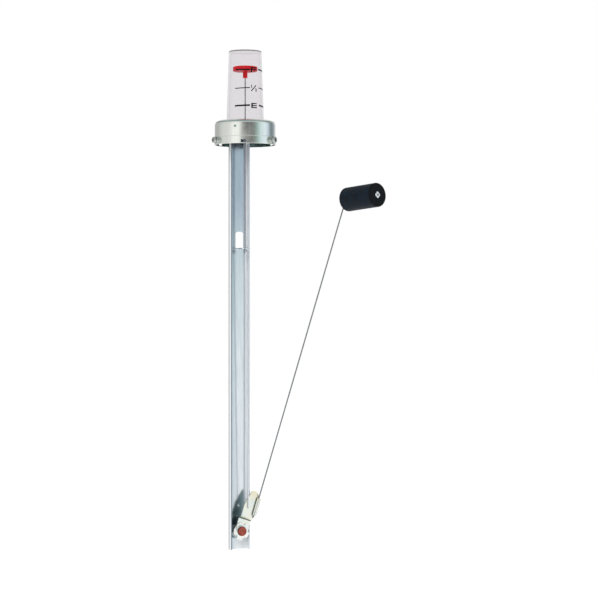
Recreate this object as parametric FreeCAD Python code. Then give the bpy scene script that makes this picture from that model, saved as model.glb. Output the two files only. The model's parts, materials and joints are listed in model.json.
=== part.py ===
import FreeCAD, Part
import math
import os

os.makedirs("parts", exist_ok=True)

V = FreeCAD.Vector

# Frame: millimetres, +Z up. The origin is the centre of the neck gasket's
# lower face, where the end of the tank neck lands. The stem's open side and
# the front of the scale face -Y. The rod hangs on the Z axis.

# Mounting cap, a drawn cup of sheet steel
CAP_SHEET = 1.0
CAP_RADIUS = 31.9
CAP_BAND_STEP = 0.3
CAP_BAND_RADIUS = CAP_RADIUS + CAP_BAND_STEP
CAP_TOP = 9.0
CAP_HEIGHT = 25.5
CAP_CORNER = 5.0
CAP_BAND_HEIGHT = 7.7
CAP_BAND_TAPER = 0.6
CAP_EDGE = 0.3
CAP_RIM = CAP_TOP - CAP_HEIGHT
CAP_INSIDE = CAP_RADIUS - CAP_SHEET
CAP_HOLE_CLEARANCE = 0.25

# Rings and plates stacked in the cap, from the top down
DOME_GASKET_THICK = 1.2
DOME_FLANGE_THICK = 1.5
PLATE_THICK = 1.5
NECK_GASKET_THICK = CAP_TOP - CAP_SHEET - DOME_GASKET_THICK - DOME_FLANGE_THICK - PLATE_THICK
PLATE_BOTTOM = NECK_GASKET_THICK
PLATE_TOP = PLATE_BOTTOM + PLATE_THICK
FLANGE_TOP = PLATE_TOP + DOME_FLANGE_THICK
PLATE_CLEARANCE = 0.7
PLATE_RADIUS = CAP_INSIDE - PLATE_CLEARANCE
NECK_GASKET_CLEARANCE = 1.5
NECK_GASKET_WIDTH = 5.9
NECK_GASKET_OUTER = CAP_INSIDE - NECK_GASKET_CLEARANCE
NECK_GASKET_INNER = NECK_GASKET_OUTER - NECK_GASKET_WIDTH

# Stakes pressed into the cap wall under the plate
STAKE_COUNT = 3
STAKE_FIRST_DEG = -46.5
STAKE_DEPTH = 0.9
STAKE_HALF_WIDTH = 1.7
STAKE_HEIGHT = PLATE_BOTTOM - 2.0

# Sight dome
DOME_BASE_RADIUS = 19.5
DOME_TOP_RADIUS = 17.05
DOME_TOP = 82.2
DOME_WALL = 1.5
DOME_CORNER = 0.8
DOME_FLANGE_WIDTH = 5.5
DOME_FLANGE_RADIUS = DOME_BASE_RADIUS + DOME_FLANGE_WIDTH

# Clamp screws and their nuts, in the cap's lower band
SCREW_COUNT = 3
SCREW_FIRST_DEG = -90.0
SCREW_HEIGHT = CAP_RIM + 4.3
SCREW_SHANK_RADIUS = 2.0
SCREW_HEAD_RADIUS = 3.3
SCREW_STANDOFF = 5.6
SCREW_HEAD_OUT = CAP_BAND_RADIUS + SCREW_STANDOFF
SCREW_HEAD_THICK = 2.6
SCREW_HEAD_EDGE = 0.9
SCREW_REACH = 1.7
SCREW_TIP = CAP_BAND_RADIUS - SCREW_REACH
SCREW_TIP_CHAMFER = 0.5
RECESS_LENGTH = 3.6
RECESS_WIDTH = 0.8
RECESS_DEPTH = 1.2
NUT_ACROSS = 7.0
NUT_THICK = 2.7
NUT_OUT = CAP_BAND_RADIUS + NUT_THICK
NUT_EDGE = 0.3
WINDOW_FIRST_DEG = -30.0
WINDOW_WIDTH = 6.0
WINDOW_LOW = CAP_RIM + 0.9
WINDOW_HEIGHT = 3.1

# Stem, a channel folded from one sheet
SHEET = 1.0
STEM_BACK = 14.2
STEM_LEFT = -13.0
STEM_WIDTH = 22.0
STEM_DEPTH = 7.5
STEM_BEND = 2.0
STEM_FOOT = -441.5
STEM_TOP = PLATE_BOTTOM
STEM_CENTRE = STEM_LEFT + STEM_WIDTH / 2.0
WEB_FRONT = STEM_BACK - SHEET
FOOT_FRONT = -9.0
FOOT_SIDE = 1.5
FOOT_CORNER = 3.0
FOOT_HOLE_RADIUS = 4.0
STEM_EDGE = 0.2
STEM_RIVET_X = (STEM_CENTRE - 6.6, STEM_CENTRE + 6.6)
STEM_RIVET_Y = -5.5
RIVET_RADIUS = 1.6
RIVET_HEAD_RADIUS = 2.7
RIVET_HEAD_THICK = 1.1
RIVET_HEAD_EDGE = 0.7

# Guide tab lanced from the web
TAB_TOP = -124.3
TAB_WIDTH = 9.2
TAB_TIP = -3.3
TAB_CORNER = 3.0
TAB_OUTER_BEND = 1.4
TAB_INNER_BEND = 0.4
TAB_ROOT = 3.0
RELIEF = 0.8
SLOT_TOP = -106.9
SLOT_WIDTH = 9.3

# Rod, its guides, the eye and the connecting rod
ROD_RADIUS = 0.6
ROD_FIT = 0.06
BUSH_FLANGE_RADIUS = 4.2
BUSH_SHANK_RADIUS = 2.5
BUSH_FLANGE_THICK = 1.2
BUSH_SHANK_LOW = PLATE_BOTTOM - 2.4
BUSH_EDGE = 0.4
EYELET_RADIUS = 1.5
EYELET_FLANGE_RADIUS = 2.5
EYELET_FLANGE_THICK = 0.5
LOOP_RADIUS = 1.5
HOOK_BEND = 0.9
CLEAR = 0.3
EYE_Z = TAB_TOP - SHEET - CLEAR - LOOP_RADIUS - ROD_RADIUS

# Indicator, shown at the full mark
DISC_RADIUS = 12.85
DISC_THICK = 5.1
DISC_TOP = 66.0
DISC_EDGE = 1.2
HUB_RADIUS = 2.4
HUB_BOTTOM = 54.1
HUB_EDGE = 0.4
HUB_ROOT = 0.6
ROD_SEAT = 1.5

# Pivot
PIVOT_X = -2.0
PIVOT_Z = -422.1
PIN_RADIUS = 4.9
PIN_FIT = 0.06
PIN_FRONT = 1.9
PIN_CHAMFER = 0.4
PIN_TAIL_RADIUS = 3.0
PIN_TAIL_HEAD_RADIUS = 4.6
PIN_TAIL_HEAD_THICK = 1.4
PIN_TAIL_HEAD_EDGE = 0.8
SPACER_RADIUS = 7.2
STAR_RADIUS = 9.0
STAR_ROOT_RADIUS = 6.9
STAR_THICK = 0.7
STAR_TEETH = 5
STAR_TOOTH_DEG = 20.0
STAR_ROOT_DEG = 26.0
STAR_CROWN = 0.3
STAR_CORNER = 0.4

# Lever, folded sheet. Its own directions are across, and along the float wire.
LEVER_SHEET = 1.2
LEVER_LEAN_DEG = 18.4
LEVER_HUB_RADIUS = 8.2
STRAP_BACK = STEM_BACK - STEM_DEPTH - CLEAR
STRAP_FRONT = STRAP_BACK - LEVER_SHEET
LEVER_STEP = 3.8
PLATE_BACK = STRAP_BACK - LEVER_STEP
PLATE_FRONT = STRAP_FRONT - LEVER_STEP
STEP_LOW = 12.9
STEP_HIGH = 15.1
LEVER_LEFT = -7.1
LEVER_RIGHT = 7.1
LEVER_TIP = 44.2
LEVER_SHOULDER = 28.0
TIP_LEFT = -2.4
TIP_RIGHT = 2.4
TIP_CORNER = 3.4
SHOULDER_CORNER = 8.0
HOOK_ACROSS = -2.2
HOOK_ALONG = 25.6
HOOK_HOLE_RADIUS = 1.1
SLEEVE_LOW = 19.6
SLEEVE_HIGH = 38.0
SLEEVE_RADIUS = 2.1
SEAM_WIDTH = 0.35
SEAM_DEPTH = 1.1

# Float wire and float
WIRE_RADIUS = 0.75
WIRE_ACROSS = 6.7
WIRE_Y = PLATE_BACK - SLEEVE_RADIUS
WIRE_LOW = 17.3
WIRE_BEND = 2.5
WIRE_HEEL = 1.2
WIRE_TAIL = 0.6
WIRE_SPLIT = (SLEEVE_LOW + SLEEVE_HIGH) / 2.0
FLOAT_ALONG = 372.3
FLOAT_RADIUS = 12.9
FLOAT_LENGTH = 46.0
FLOAT_EDGE = 1.0
FLOAT_START = 2.9
FLOAT_DIRECTION = V(0.205, -0.968, 0.1475)
FLOAT_WASHER_RADIUS = 3.3
FLOAT_WASHER_THICK = 0.7
WIRE_END = 1.2


def save(name, shape):
    shape.exportStep("parts/" + name + ".step")


def around(angle_deg):
    """Direction in the plan at an angle from -Y towards +X."""
    a = math.radians(angle_deg)
    return V(math.sin(a), -math.cos(a), 0)


def ring(outer, inner, low, high):
    body = Part.makeCylinder(outer, high - low, V(0, 0, low))
    return body.cut(Part.makeCylinder(inner, high - low + 2, V(0, 0, low - 1)))


def along_y(radius, x, z, front, back):
    return Part.makeCylinder(radius, back - front, V(x, front, z), V(0, 1, 0))


def round_edges_at(body, y):
    """Circular edges of a body that lie across Y at one depth."""
    return [e for e in body.Edges if e.isClosed() and abs(e.CenterOfMass.y - y) < 1e-6]


def rounded_wire(points, radii):
    """Closed wire through the points with each corner rounded by its radius."""
    count = len(points)
    starts = []
    ends = []
    mids = []
    for i in range(count):
        here = points[i]
        back = (points[i - 1] - here).normalize()
        ahead = (points[(i + 1) % count] - here).normalize()
        half = back.getAngle(ahead) / 2.0
        if radii[i] <= 0:
            starts.append(here)
            ends.append(here)
            mids.append(None)
            continue
        reach = radii[i] / math.tan(half)
        centre = here + (back + ahead).normalize() * (radii[i] / math.sin(half))
        starts.append(here + back * reach)
        ends.append(here + ahead * reach)
        mids.append(centre + (here - centre).normalize() * radii[i])
    edges = []
    for i in range(count):
        if mids[i] is not None:
            edges.append(Part.Arc(starts[i], mids[i], ends[i]).toShape())
        after = starts[(i + 1) % count]
        if ends[i].distanceToPoint(after) > 1e-6:
            edges.append(Part.makeLine(ends[i], after))
    return Part.Wire(edges)


def plate(points, radii, push):
    return Part.Face(rounded_wire(points, radii)).extrude(push)


def turned(points, radii):
    """Solid turned about Z from a profile in the XZ plane."""
    face = Part.Face(rounded_wire(points, radii))
    return face.revolve(V(0, 0, 0), V(0, 0, 1), 360)


def swept(edges, radius):
    """Round wire along a chain of edges."""
    path = Part.Wire(edges)
    start = edges[0].valueAt(edges[0].FirstParameter)
    tangent = edges[0].tangentAt(edges[0].FirstParameter)
    profile = Part.Wire([Part.makeCircle(radius, start, tangent)])
    return path.makePipeShell([profile], True, False)


def bent_path(corner_points, bend):
    """Edges through the points with every inner corner bent to one radius."""
    edges = []
    start = corner_points[0]
    for i in range(1, len(corner_points) - 1):
        here = corner_points[i]
        back = (corner_points[i - 1] - here).normalize()
        ahead = (corner_points[i + 1] - here).normalize()
        half = back.getAngle(ahead) / 2.0
        reach = bend / math.tan(half)
        centre = here + (back + ahead).normalize() * (bend / math.sin(half))
        middle = centre + (here - centre).normalize() * bend
        first = here + back * reach
        last = here + ahead * reach
        edges.append(Part.makeLine(start, first))
        edges.append(Part.Arc(first, middle, last).toShape())
        start = last
    edges.append(Part.makeLine(start, corner_points[-1]))
    return edges


def mounting_cap():
    inner = CAP_INSIDE
    band_inner = CAP_BAND_RADIUS - CAP_SHEET
    hole = DOME_BASE_RADIUS + CAP_HOLE_CLEARANCE
    step = CAP_RIM + CAP_BAND_HEIGHT
    points = [
        V(hole, 0, CAP_TOP),
        V(CAP_RADIUS, 0, CAP_TOP),
        V(CAP_RADIUS, 0, step + CAP_BAND_TAPER),
        V(CAP_BAND_RADIUS, 0, step),
        V(CAP_BAND_RADIUS, 0, CAP_RIM),
        V(band_inner, 0, CAP_RIM),
        V(band_inner, 0, step),
        V(inner, 0, step + CAP_BAND_TAPER),
        V(inner, 0, CAP_TOP - CAP_SHEET),
        V(hole, 0, CAP_TOP - CAP_SHEET),
    ]
    inner_corner = CAP_CORNER - CAP_SHEET
    radii = [CAP_EDGE, CAP_CORNER, 0, 0, CAP_EDGE, CAP_EDGE, 0, 0, inner_corner, 0]
    cap = turned(points, radii)
    ball = (STAKE_DEPTH ** 2 + STAKE_HALF_WIDTH ** 2) / (2 * STAKE_DEPTH)
    core = Part.makeCylinder(CAP_RADIUS - CAP_SHEET / 2, CAP_HEIGHT, V(0, 0, CAP_RIM))
    for i in range(STAKE_COUNT):
        out = around(STAKE_FIRST_DEG + i * 360.0 / STAKE_COUNT)
        lift = V(0, 0, STAKE_HEIGHT)
        bump = Part.makeSphere(ball, out * (inner - STAKE_DEPTH + ball) + lift)
        dent = Part.makeSphere(ball, out * (CAP_RADIUS - STAKE_DEPTH + ball) + lift)
        cap = cap.fuse(bump.common(core)).cut(dent)
    for i in range(SCREW_COUNT):
        out = around(SCREW_FIRST_DEG + i * 360.0 / SCREW_COUNT)
        start = out * (CAP_RADIUS - 4) + V(0, 0, SCREW_HEIGHT)
        cap = cap.cut(Part.makeCylinder(SCREW_SHANK_RADIUS, 8, start, out))
        angle = WINDOW_FIRST_DEG + i * 360.0 / SCREW_COUNT
        corner = V(-WINDOW_WIDTH / 2, -CAP_RADIUS - 4, WINDOW_LOW)
        window = Part.makeBox(WINDOW_WIDTH, 8, WINDOW_HEIGHT, corner)
        window.rotate(V(0, 0, 0), V(0, 0, 1), angle)
        cap = cap.cut(window)
    return cap


def sight_dome():
    top_inner = DOME_TOP_RADIUS - DOME_WALL
    base_inner = DOME_BASE_RADIUS - DOME_WALL
    points = [
        V(0, 0, DOME_TOP),
        V(DOME_TOP_RADIUS, 0, DOME_TOP),
        V(DOME_BASE_RADIUS, 0, CAP_TOP),
        V(DOME_BASE_RADIUS, 0, FLANGE_TOP),
        V(DOME_FLANGE_RADIUS, 0, FLANGE_TOP),
        V(DOME_FLANGE_RADIUS, 0, PLATE_TOP),
        V(base_inner, 0, PLATE_TOP),
        V(base_inner, 0, CAP_TOP),
        V(top_inner, 0, DOME_TOP - DOME_WALL),
        V(0, 0, DOME_TOP - DOME_WALL),
    ]
    radii = [0, DOME_CORNER, 0, 0, 0, 0, 0, 0, DOME_CORNER / 2, 0]
    return turned(points, radii)


def backing_plate():
    disc = ring(PLATE_RADIUS, BUSH_SHANK_RADIUS, PLATE_BOTTOM, PLATE_TOP)
    for x in STEM_RIVET_X:
        disc = disc.cut(Part.makeCylinder(RIVET_RADIUS, 6, V(x, STEM_RIVET_Y, PLATE_BOTTOM - 3)))
    return disc


def clamp_nut(angle_deg):
    radius = NUT_ACROSS / 2 / math.cos(math.pi / 6)
    corners = []
    for i in range(6):
        a = math.radians(60 * i)
        corners.append(V(radius * math.cos(a), 0, radius * math.sin(a)))
    nut = plate(corners, [NUT_EDGE] * 6, V(0, 1.5 * NUT_THICK, 0))
    nut.translate(V(0, -NUT_OUT, 0))
    nut = nut.cut(along_y(SCREW_SHANK_RADIUS, 0, 0, -NUT_OUT - 1, 0))
    nut.translate(V(0, 0, SCREW_HEIGHT))
    nut = nut.cut(Part.makeCylinder(CAP_BAND_RADIUS, 2 * NUT_ACROSS, V(0, 0, SCREW_HEIGHT - NUT_ACROSS)))
    nut.rotate(V(0, 0, 0), V(0, 0, 1), angle_deg)
    return nut


def clamp_screw(angle_deg):
    shank = along_y(SCREW_SHANK_RADIUS, 0, 0, -SCREW_HEAD_OUT + 1, -SCREW_TIP)
    shank = shank.makeChamfer(SCREW_TIP_CHAMFER, round_edges_at(shank, -SCREW_TIP))
    head = along_y(SCREW_HEAD_RADIUS, 0, 0, -SCREW_HEAD_OUT, -SCREW_HEAD_OUT + SCREW_HEAD_THICK)
    head = head.makeFillet(SCREW_HEAD_EDGE, round_edges_at(head, -SCREW_HEAD_OUT))
    screw = head.fuse(shank)
    for turn in (45, 135):
        corner = V(-RECESS_LENGTH / 2, -SCREW_HEAD_OUT - 1, -RECESS_WIDTH / 2)
        bar = Part.makeBox(RECESS_LENGTH, RECESS_DEPTH + 1, RECESS_WIDTH, corner)
        bar.rotate(V(0, 0, 0), V(0, 1, 0), turn)
        screw = screw.cut(bar)
    screw.translate(V(0, 0, SCREW_HEIGHT))
    screw.rotate(V(0, 0, 0), V(0, 0, 1), angle_deg)
    return screw


def stem_section(low, high):
    right = STEM_LEFT + STEM_WIDTH
    tip = STEM_BACK - STEM_DEPTH
    points = [
        V(STEM_LEFT, tip, low),
        V(STEM_LEFT + SHEET, tip, low),
        V(STEM_LEFT + SHEET, WEB_FRONT, low),
        V(right - SHEET, WEB_FRONT, low),
        V(right - SHEET, tip, low),
        V(right, tip, low),
        V(right, STEM_BACK, low),
        V(STEM_LEFT, STEM_BACK, low),
    ]
    inner = STEM_BEND - SHEET
    edge = STEM_EDGE
    radii = [edge, edge, inner, inner, edge, edge, STEM_BEND, STEM_BEND]
    return plate(points, radii, V(0, 0, high - low))


def guide_tab():
    bottom = TAB_TOP - SHEET
    root = bottom - TAB_ROOT
    left = -TAB_WIDTH / 2
    points = [
        V(left, STEM_BACK, root),
        V(left, STEM_BACK, TAB_TOP),
        V(left, TAB_TIP, TAB_TOP),
        V(left, TAB_TIP, bottom),
        V(left, WEB_FRONT, bottom),
        V(left, WEB_FRONT, root),
    ]
    radii = [0, TAB_OUTER_BEND, STEM_EDGE, STEM_EDGE, TAB_INNER_BEND, 0]
    tab = plate(points, radii, V(TAB_WIDTH, 0, 0))
    outline = [
        V(left, STEM_BACK + 1, root - 1),
        V(-left, STEM_BACK + 1, root - 1),
        V(-left, TAB_TIP, root - 1),
        V(left, TAB_TIP, root - 1),
    ]
    return tab.common(plate(outline, [0, 0, TAB_CORNER, TAB_CORNER], V(0, 0, TAB_ROOT + SHEET + 2)))


def stem_channel():
    stem = stem_section(STEM_FOOT, STEM_TOP - SHEET)
    right = STEM_LEFT + STEM_WIDTH
    foot = [
        V(STEM_LEFT + FOOT_SIDE, FOOT_FRONT, STEM_TOP - SHEET),
        V(right - FOOT_SIDE, FOOT_FRONT, STEM_TOP - SHEET),
        V(right - FOOT_SIDE, STEM_BACK, STEM_TOP - SHEET),
        V(STEM_LEFT + FOOT_SIDE, STEM_BACK, STEM_TOP - SHEET),
    ]
    stem = stem.fuse(plate(foot, [FOOT_CORNER, FOOT_CORNER, 0, 0], V(0, 0, SHEET)))
    slot = [
        V(-SLOT_WIDTH / 2, STEM_BACK + 1, TAB_TOP),
        V(SLOT_WIDTH / 2, STEM_BACK + 1, TAB_TOP),
        V(SLOT_WIDTH / 2, STEM_BACK + 1, SLOT_TOP),
        V(-SLOT_WIDTH / 2, STEM_BACK + 1, SLOT_TOP),
    ]
    radii = [STEM_EDGE, STEM_EDGE, TAB_CORNER, TAB_CORNER]
    stem = stem.cut(plate(slot, radii, V(0, -SHEET - 2, 0)))
    relief_corner = V(-SLOT_WIDTH / 2, STEM_BACK - RELIEF / 2, TAB_TOP - RELIEF / 2)
    stem = stem.cut(Part.makeBox(SLOT_WIDTH, RELIEF, RELIEF, relief_corner))
    stem = stem.fuse(guide_tab())
    stem = stem.cut(Part.makeCylinder(EYELET_RADIUS, 6, V(0, 0, TAB_TOP - 3)))
    stem = stem.cut(Part.makeCylinder(FOOT_HOLE_RADIUS, 4, V(0, 0, STEM_TOP - 3)))
    for x in STEM_RIVET_X:
        stem = stem.cut(Part.makeCylinder(RIVET_RADIUS, 4, V(x, STEM_RIVET_Y, STEM_TOP - 3)))
    stem = stem.cut(along_y(PIN_TAIL_RADIUS, PIVOT_X, PIVOT_Z, WEB_FRONT - 1, STEM_BACK + 1))
    return stem.removeSplitter()


def stem_rivet(x):
    low = STEM_TOP - SHEET
    edge = RIVET_HEAD_EDGE
    points = [
        V(0, 0, low - RIVET_HEAD_THICK),
        V(RIVET_HEAD_RADIUS, 0, low - RIVET_HEAD_THICK),
        V(RIVET_HEAD_RADIUS, 0, low),
        V(RIVET_RADIUS, 0, low),
        V(RIVET_RADIUS, 0, PLATE_TOP),
        V(RIVET_HEAD_RADIUS, 0, PLATE_TOP),
        V(RIVET_HEAD_RADIUS, 0, PLATE_TOP + RIVET_HEAD_THICK),
        V(0, 0, PLATE_TOP + RIVET_HEAD_THICK),
    ]
    rivet = turned(points, [0, edge, 0, 0, 0, 0, edge, 0])
    rivet.translate(V(x, STEM_RIVET_Y, 0))
    return rivet


def rod_bush():
    hole = ROD_RADIUS + ROD_FIT
    points = [
        V(hole, 0, BUSH_SHANK_LOW),
        V(BUSH_SHANK_RADIUS, 0, BUSH_SHANK_LOW),
        V(BUSH_SHANK_RADIUS, 0, PLATE_TOP),
        V(BUSH_FLANGE_RADIUS, 0, PLATE_TOP),
        V(BUSH_FLANGE_RADIUS, 0, PLATE_TOP + BUSH_FLANGE_THICK),
        V(hole, 0, PLATE_TOP + BUSH_FLANGE_THICK),
    ]
    return turned(points, [0, BUSH_EDGE, 0, 0, BUSH_EDGE, 0])


def guide_eyelet():
    hole = ROD_RADIUS + ROD_FIT
    points = [
        V(hole, 0, TAB_TOP - SHEET),
        V(EYELET_RADIUS, 0, TAB_TOP - SHEET),
        V(EYELET_RADIUS, 0, TAB_TOP),
        V(EYELET_FLANGE_RADIUS, 0, TAB_TOP),
        V(EYELET_FLANGE_RADIUS, 0, TAB_TOP + EYELET_FLANGE_THICK),
        V(hole, 0, TAB_TOP + EYELET_FLANGE_THICK),
    ]
    return turned(points, [0, 0, 0, EYELET_FLANGE_THICK * 0.3, EYELET_FLANGE_THICK * 0.6, 0])


def indicator():
    top = DISC_TOP
    bottom = DISC_TOP - DISC_THICK
    points = [
        V(0, 0, top),
        V(DISC_RADIUS, 0, top),
        V(DISC_RADIUS, 0, bottom),
        V(HUB_RADIUS, 0, bottom),
        V(HUB_RADIUS, 0, HUB_BOTTOM),
        V(ROD_RADIUS, 0, HUB_BOTTOM),
        V(ROD_RADIUS, 0, top - ROD_SEAT),
        V(0, 0, top - ROD_SEAT),
    ]
    return turned(points, [0, DISC_EDGE, DISC_EDGE, HUB_ROOT, HUB_EDGE, 0, 0, 0])


def indicator_rod():
    top = DISC_TOP - ROD_SEAT
    low = EYE_Z + LOOP_RADIUS
    rod = Part.makeCylinder(ROD_RADIUS, top - low, V(0, 0, low))
    eye = Part.makeTorus(LOOP_RADIUS, ROD_RADIUS, V(0, 0, EYE_Z), V(0, 1, 0))
    return rod.fuse(eye)


def hook_place():
    """Where the lever's hook hole stands with the lever at rest."""
    a = math.radians(LEVER_LEAN_DEG)
    x = PIVOT_X + HOOK_ACROSS * math.cos(a) + HOOK_ALONG * math.sin(a)
    z = PIVOT_Z - HOOK_ACROSS * math.sin(a) + HOOK_ALONG * math.cos(a)
    return x, z


def connecting_rod():
    x, z = hook_place()
    length = math.hypot(x, z - EYE_Z)
    lean = math.degrees(math.atan2(x, EYE_Z - z))
    loop = Part.makeTorus(LOOP_RADIUS, ROD_RADIUS, V(0, 0, -LOOP_RADIUS), V(1, 0, 0))
    end = PLATE_FRONT - CLEAR
    corners = [V(0, 0, -2 * LOOP_RADIUS), V(0, 0, -length), V(0, end, -length)]
    path = bent_path(corners, HOOK_BEND)
    rod = loop.fuse(swept(path, ROD_RADIUS))
    rod.rotate(V(0, 0, 0), V(0, 1, 0), -lean)
    rod.translate(V(0, 0, EYE_Z))
    return rod


def pivot_pin():
    body = along_y(PIN_RADIUS, PIVOT_X, PIVOT_Z, PIN_FRONT, WEB_FRONT)
    body = body.makeChamfer(PIN_CHAMFER, round_edges_at(body, PIN_FRONT))
    tail = along_y(PIN_TAIL_RADIUS, PIVOT_X, PIVOT_Z, WEB_FRONT, STEM_BACK)
    back = STEM_BACK + PIN_TAIL_HEAD_THICK
    head = along_y(PIN_TAIL_HEAD_RADIUS, PIVOT_X, PIVOT_Z, STEM_BACK, back)
    head = head.makeFillet(PIN_TAIL_HEAD_EDGE, round_edges_at(head, back))
    return body.fuse([tail, head])


def pivot_spacer():
    front = STEM_BACK - STEM_DEPTH
    body = along_y(SPACER_RADIUS, PIVOT_X, PIVOT_Z, front, WEB_FRONT)
    return body.cut(along_y(PIN_RADIUS, PIVOT_X, PIVOT_Z, front - 1, WEB_FRONT + 1))


def star_washer():
    back = STRAP_FRONT - CLEAR
    tooth = (
        (STAR_ROOT_RADIUS, -STAR_ROOT_DEG),
        (STAR_RADIUS, -STAR_TOOTH_DEG),
        (STAR_RADIUS + STAR_CROWN, 0),
        (STAR_RADIUS, STAR_TOOTH_DEG),
        (STAR_ROOT_RADIUS, STAR_ROOT_DEG),
    )
    points = []
    for i in range(STAR_TEETH):
        middle = 180.0 + i * 360.0 / STAR_TEETH
        for radius, offset in tooth:
            a = math.radians(middle + offset)
            points.append(V(PIVOT_X + radius * math.cos(a), back, PIVOT_Z + radius * math.sin(a)))
    star = plate(points, [STAR_CORNER] * len(points), V(0, -STAR_THICK, 0))
    return star.cut(along_y(PIN_RADIUS, PIVOT_X, PIVOT_Z, back - 3, back + 3))


def place_lever(shape):
    """Turn a shape drawn along the lever's own directions and set it on the pivot."""
    shape.rotate(V(0, 0, 0), V(0, 1, 0), LEVER_LEAN_DEG)
    shape.translate(V(PIVOT_X, 0, PIVOT_Z))
    return shape


def lever():
    thick = V(0, LEVER_SHEET, 0)
    strap_points = [
        V(LEVER_LEFT, STRAP_FRONT, 0),
        V(LEVER_LEFT, STRAP_FRONT, STEP_LOW),
        V(LEVER_RIGHT, STRAP_FRONT, STEP_LOW),
        V(LEVER_RIGHT, STRAP_FRONT, 0),
    ]
    strap = plate(strap_points, [0, 0, 0, 0], thick)
    hub = along_y(LEVER_HUB_RADIUS, 0, 0, STRAP_FRONT, STRAP_BACK)
    step_points = [
        V(LEVER_LEFT, STRAP_FRONT, STEP_LOW),
        V(LEVER_LEFT, PLATE_FRONT, STEP_HIGH),
        V(LEVER_LEFT, PLATE_BACK, STEP_HIGH),
        V(LEVER_LEFT, STRAP_BACK, STEP_LOW),
    ]
    step = plate(step_points, [0, 0, 0, 0], V(LEVER_RIGHT - LEVER_LEFT, 0, 0))
    face_points = [
        V(LEVER_LEFT, PLATE_FRONT, STEP_HIGH),
        V(LEVER_RIGHT, PLATE_FRONT, STEP_HIGH),
        V(LEVER_RIGHT, PLATE_FRONT, SLEEVE_LOW - LEVER_SHEET),
        V(WIRE_ACROSS, PLATE_FRONT, SLEEVE_LOW),
        V(WIRE_ACROSS, PLATE_FRONT, LEVER_TIP - TIP_CORNER),
        V(TIP_RIGHT, PLATE_FRONT, LEVER_TIP),
        V(TIP_LEFT, PLATE_FRONT, LEVER_TIP),
        V(LEVER_LEFT, PLATE_FRONT, LEVER_SHOULDER),
    ]
    corner = TIP_CORNER
    face = plate(face_points, [0, 0, LEVER_SHEET, 0, corner, corner, corner, SHOULDER_CORNER], thick)
    sleeve_foot = V(WIRE_ACROSS, WIRE_Y, SLEEVE_LOW)
    sleeve = Part.makeCylinder(SLEEVE_RADIUS, SLEEVE_HIGH - SLEEVE_LOW, sleeve_foot)
    body = strap.fuse([hub, step, face, sleeve]).removeSplitter()
    # Gap where the sheet, rolled round the wire, comes back to the plate
    seam_corner = V(WIRE_ACROSS - SLEEVE_RADIUS - CLEAR, PLATE_FRONT - SEAM_WIDTH, SLEEVE_LOW)
    body = body.cut(Part.makeBox(SEAM_DEPTH + CLEAR, SEAM_WIDTH, SLEEVE_HIGH - SLEEVE_LOW, seam_corner))
    body = body.cut(Part.makeCylinder(WIRE_RADIUS, LEVER_TIP, V(WIRE_ACROSS, WIRE_Y, STEP_LOW)))
    body = body.cut(along_y(PIN_RADIUS + PIN_FIT, 0, 0, STRAP_FRONT - 1, STRAP_BACK + 1))
    body = body.cut(along_y(HOOK_HOLE_RADIUS, HOOK_ACROSS, HOOK_ALONG, PLATE_FRONT - 1, PLATE_BACK + 1))
    body = body.cut(along_y(WIRE_RADIUS, WIRE_ACROSS, WIRE_LOW, PLATE_FRONT - 1, PLATE_BACK + 1))
    return place_lever(body)


def float_axis():
    return V(FLOAT_DIRECTION).normalize()


def float_corner():
    return V(WIRE_ACROSS, WIRE_Y, FLOAT_ALONG)


def float_wire():
    corner = float_corner()
    end = corner + float_axis() * (FLOAT_START + FLOAT_LENGTH + FLOAT_WASHER_THICK + WIRE_END)
    tail = V(WIRE_ACROSS, PLATE_BACK + WIRE_TAIL, WIRE_LOW)
    heel = V(WIRE_ACROSS, WIRE_Y, WIRE_LOW)
    split = V(WIRE_ACROSS, WIRE_Y, WIRE_SPLIT)
    lower = bent_path([tail, heel, split], WIRE_HEEL)
    upper = bent_path([split, corner, end], WIRE_BEND)
    return place_lever(swept(lower + upper, WIRE_RADIUS))


def on_float_axis(shape):
    """Move a shape drawn along Z from the origin to the float's axis."""
    turn = FreeCAD.Rotation(V(0, 0, 1), float_axis())
    shape.Placement = FreeCAD.Placement(float_corner(), turn)
    return place_lever(shape)


def float_body():
    body = Part.makeCylinder(FLOAT_RADIUS, FLOAT_LENGTH, V(0, 0, FLOAT_START))
    rims = [e for e in body.Edges if e.Curve.TypeId == "Part::GeomCircle"]
    body = body.makeFillet(FLOAT_EDGE, rims)
    body = body.cut(Part.makeCylinder(WIRE_RADIUS, FLOAT_LENGTH + 2, V(0, 0, FLOAT_START - 1)))
    return on_float_axis(body)


def float_washer(low):
    return on_float_axis(ring(FLOAT_WASHER_RADIUS, WIRE_RADIUS, low, low + FLOAT_WASHER_THICK))


save("mounting_cap", mounting_cap())
save("sight_dome", sight_dome())
save("dome_gasket", ring(DOME_FLANGE_RADIUS, DOME_BASE_RADIUS, FLANGE_TOP, CAP_TOP - CAP_SHEET))
save("backing_plate", backing_plate())
save("neck_gasket", ring(NECK_GASKET_OUTER, NECK_GASKET_INNER, 0, PLATE_BOTTOM))
for i in range(SCREW_COUNT):
    angle = SCREW_FIRST_DEG + i * 360.0 / SCREW_COUNT
    save("clamp_nut_" + str(i + 1), clamp_nut(angle))
    save("clamp_screw_" + str(i + 1), clamp_screw(angle))
save("stem_channel", stem_channel())
for i, x in enumerate(STEM_RIVET_X):
    save("stem_rivet_" + str(i + 1), stem_rivet(x))
save("rod_bush", rod_bush())
save("guide_eyelet", guide_eyelet())
save("indicator", indicator())
save("indicator_rod", indicator_rod())
save("connecting_rod", connecting_rod())
save("pivot_pin", pivot_pin())
save("pivot_spacer", pivot_spacer())
save("star_washer", star_washer())
save("lever", lever())
save("float_wire", float_wire())
save("float", float_body())
save("float_washer_inner", float_washer(FLOAT_START - FLOAT_WASHER_THICK))
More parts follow.
